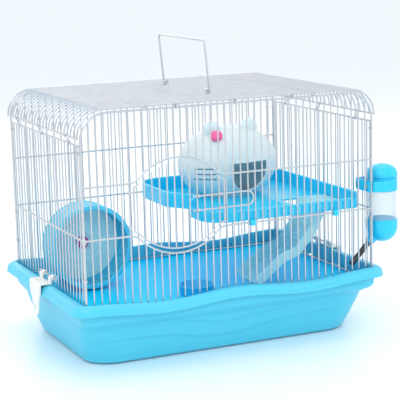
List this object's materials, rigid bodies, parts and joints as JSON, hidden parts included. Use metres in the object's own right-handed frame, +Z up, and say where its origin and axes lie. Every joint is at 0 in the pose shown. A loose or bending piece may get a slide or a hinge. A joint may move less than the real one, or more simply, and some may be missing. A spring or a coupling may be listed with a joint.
{
  "type": "hamster cage",
  "caption": "Wire hamster cage with a rounded roof on a deep moulded tray, with platform, house, ramp, running wheel, bottle and carry handle.",
  "frame": {"origin": "centre of the tray's flat foot, on the surface that the cage stands on", "axes": "+X along the length, towards the bottle; -Y towards the front door; +Z up"},
  "size_m": [0.5041, 0.33, 0.4256],
  "materials": {
    "tray_blue": "glossy moulded, light sky blue",
    "floor_blue": "glossy moulded, saturated cyan",
    "wire_white": "thin light grey-white coat over steel wire",
    "clip_steel": "bright steel",
    "latch_white": "off-white moulded",
    "platform_blue": "glossy moulded blue",
    "house_milky": "milky translucent moulded",
    "plug_pink": "glossy pink",
    "ramp_milky": "milky translucent moulded",
    "wheel_clear": "pale blue translucent moulded",
    "hub_pink": "glossy magenta",
    "axle_white": "white pin",
    "bottle_clear": "clear blown bottle wall",
    "spout_black": "black moulded tube",
    "dish_blue": "glossy moulded blue"
  },
  "bodies": {
    "tray": {"base_tray": "tray_blue", "floor_plate": "floor_blue", "wheel_stand": "platform_blue", "wheel_axle": "axle_white"},
    "cover": {"front_panel_left": "wire_white", "front_panel_right": "wire_white", "front_panel_above": "wire_white", "front_panel_below": "wire_white", "back_panel": "wire_white", "left_panel": "wire_white", "right_panel": "wire_white", "roof_left_bend": "wire_white", "roof_left_flat": "wire_white", "roof_middle": "wire_white", "roof_right_flat": "wire_white", "roof_right_bend": "wire_white", "panel_clips": "clip_steel", "platform": "platform_blue", "house_shell": "house_milky", "house_plug": "plug_pink", "ramp": "ramp_milky", "bottle_holder": "platform_blue", "holder_clamp": "platform_blue", "holder_screws": "clip_steel"},
    "door": {"front_door": "wire_white"},
    "door_latch": {"door_latch": "wire_white"},
    "handle": {"carry_handle": "wire_white"},
    "left_latch": {"left_latch": "latch_white"},
    "right_latch": {"right_latch": "latch_white"},
    "wheel": {"wheel_drum": "wheel_clear", "wheel_hub": "hub_pink"},
    "bottle": {"bottle_top": "platform_blue", "bottle_body": "bottle_clear", "bottle_bowl": "platform_blue", "spout_tube": "spout_black"},
    "ball": {"spout_ball": "clip_steel"},
    "dish": {"food_dish": "dish_blue"}
  },
  "joints": [
    {"name": "cover_lift", "type": "slide", "parent": "tray", "child": "cover", "axis": [0, 0, 1], "range_m": [0, 0.2]},
    {"name": "door_swing", "type": "hinge", "parent": "cover", "child": "door", "pos_m": [-0.1505, -0.15, 0.215], "axis": [0, 0, -1], "range_deg": [0, 120]},
    {"name": "door_latch_slide", "type": "slide", "parent": "door", "child": "door_latch", "axis": [-1, 0, 0], "range_m": [0, 0.036]},
    {"name": "handle_swing", "type": "hinge", "parent": "cover", "child": "handle", "pos_m": [0, 0, 0.35435], "axis": [0, 1, 0], "range_deg": [-84, 94]},
    {"name": "left_latch_swing", "type": "hinge", "parent": "cover", "child": "left_latch", "pos_m": [-0.2169, 0, 0.106], "axis": [0, 1, 0], "range_deg": [0, 100]},
    {"name": "right_latch_swing", "type": "hinge", "parent": "cover", "child": "right_latch", "pos_m": [0.2169, 0, 0.106], "axis": [0, -1, 0], "range_deg": [0, 100]},
    {"name": "wheel_spin", "type": "hinge", "parent": "tray", "child": "wheel", "pos_m": [-0.15, 0.044, 0.1365], "axis": [0, 1, 0], "continuous": true},
    {"name": "bottle_slide", "type": "slide", "parent": "cover", "child": "bottle", "axis": [0.7071, 0, 0.7071], "range_m": [0, 0.06]},
    {"name": "ball_push", "type": "slide", "parent": "bottle", "child": "ball", "axis": [0.7071, 0, 0.7071], "range_m": [0, 0.002]},
    {"name": "dish_lift", "type": "slide", "parent": "tray", "child": "dish", "axis": [0, 0, 1], "range_m": [0, 0.05]}
  ]
}
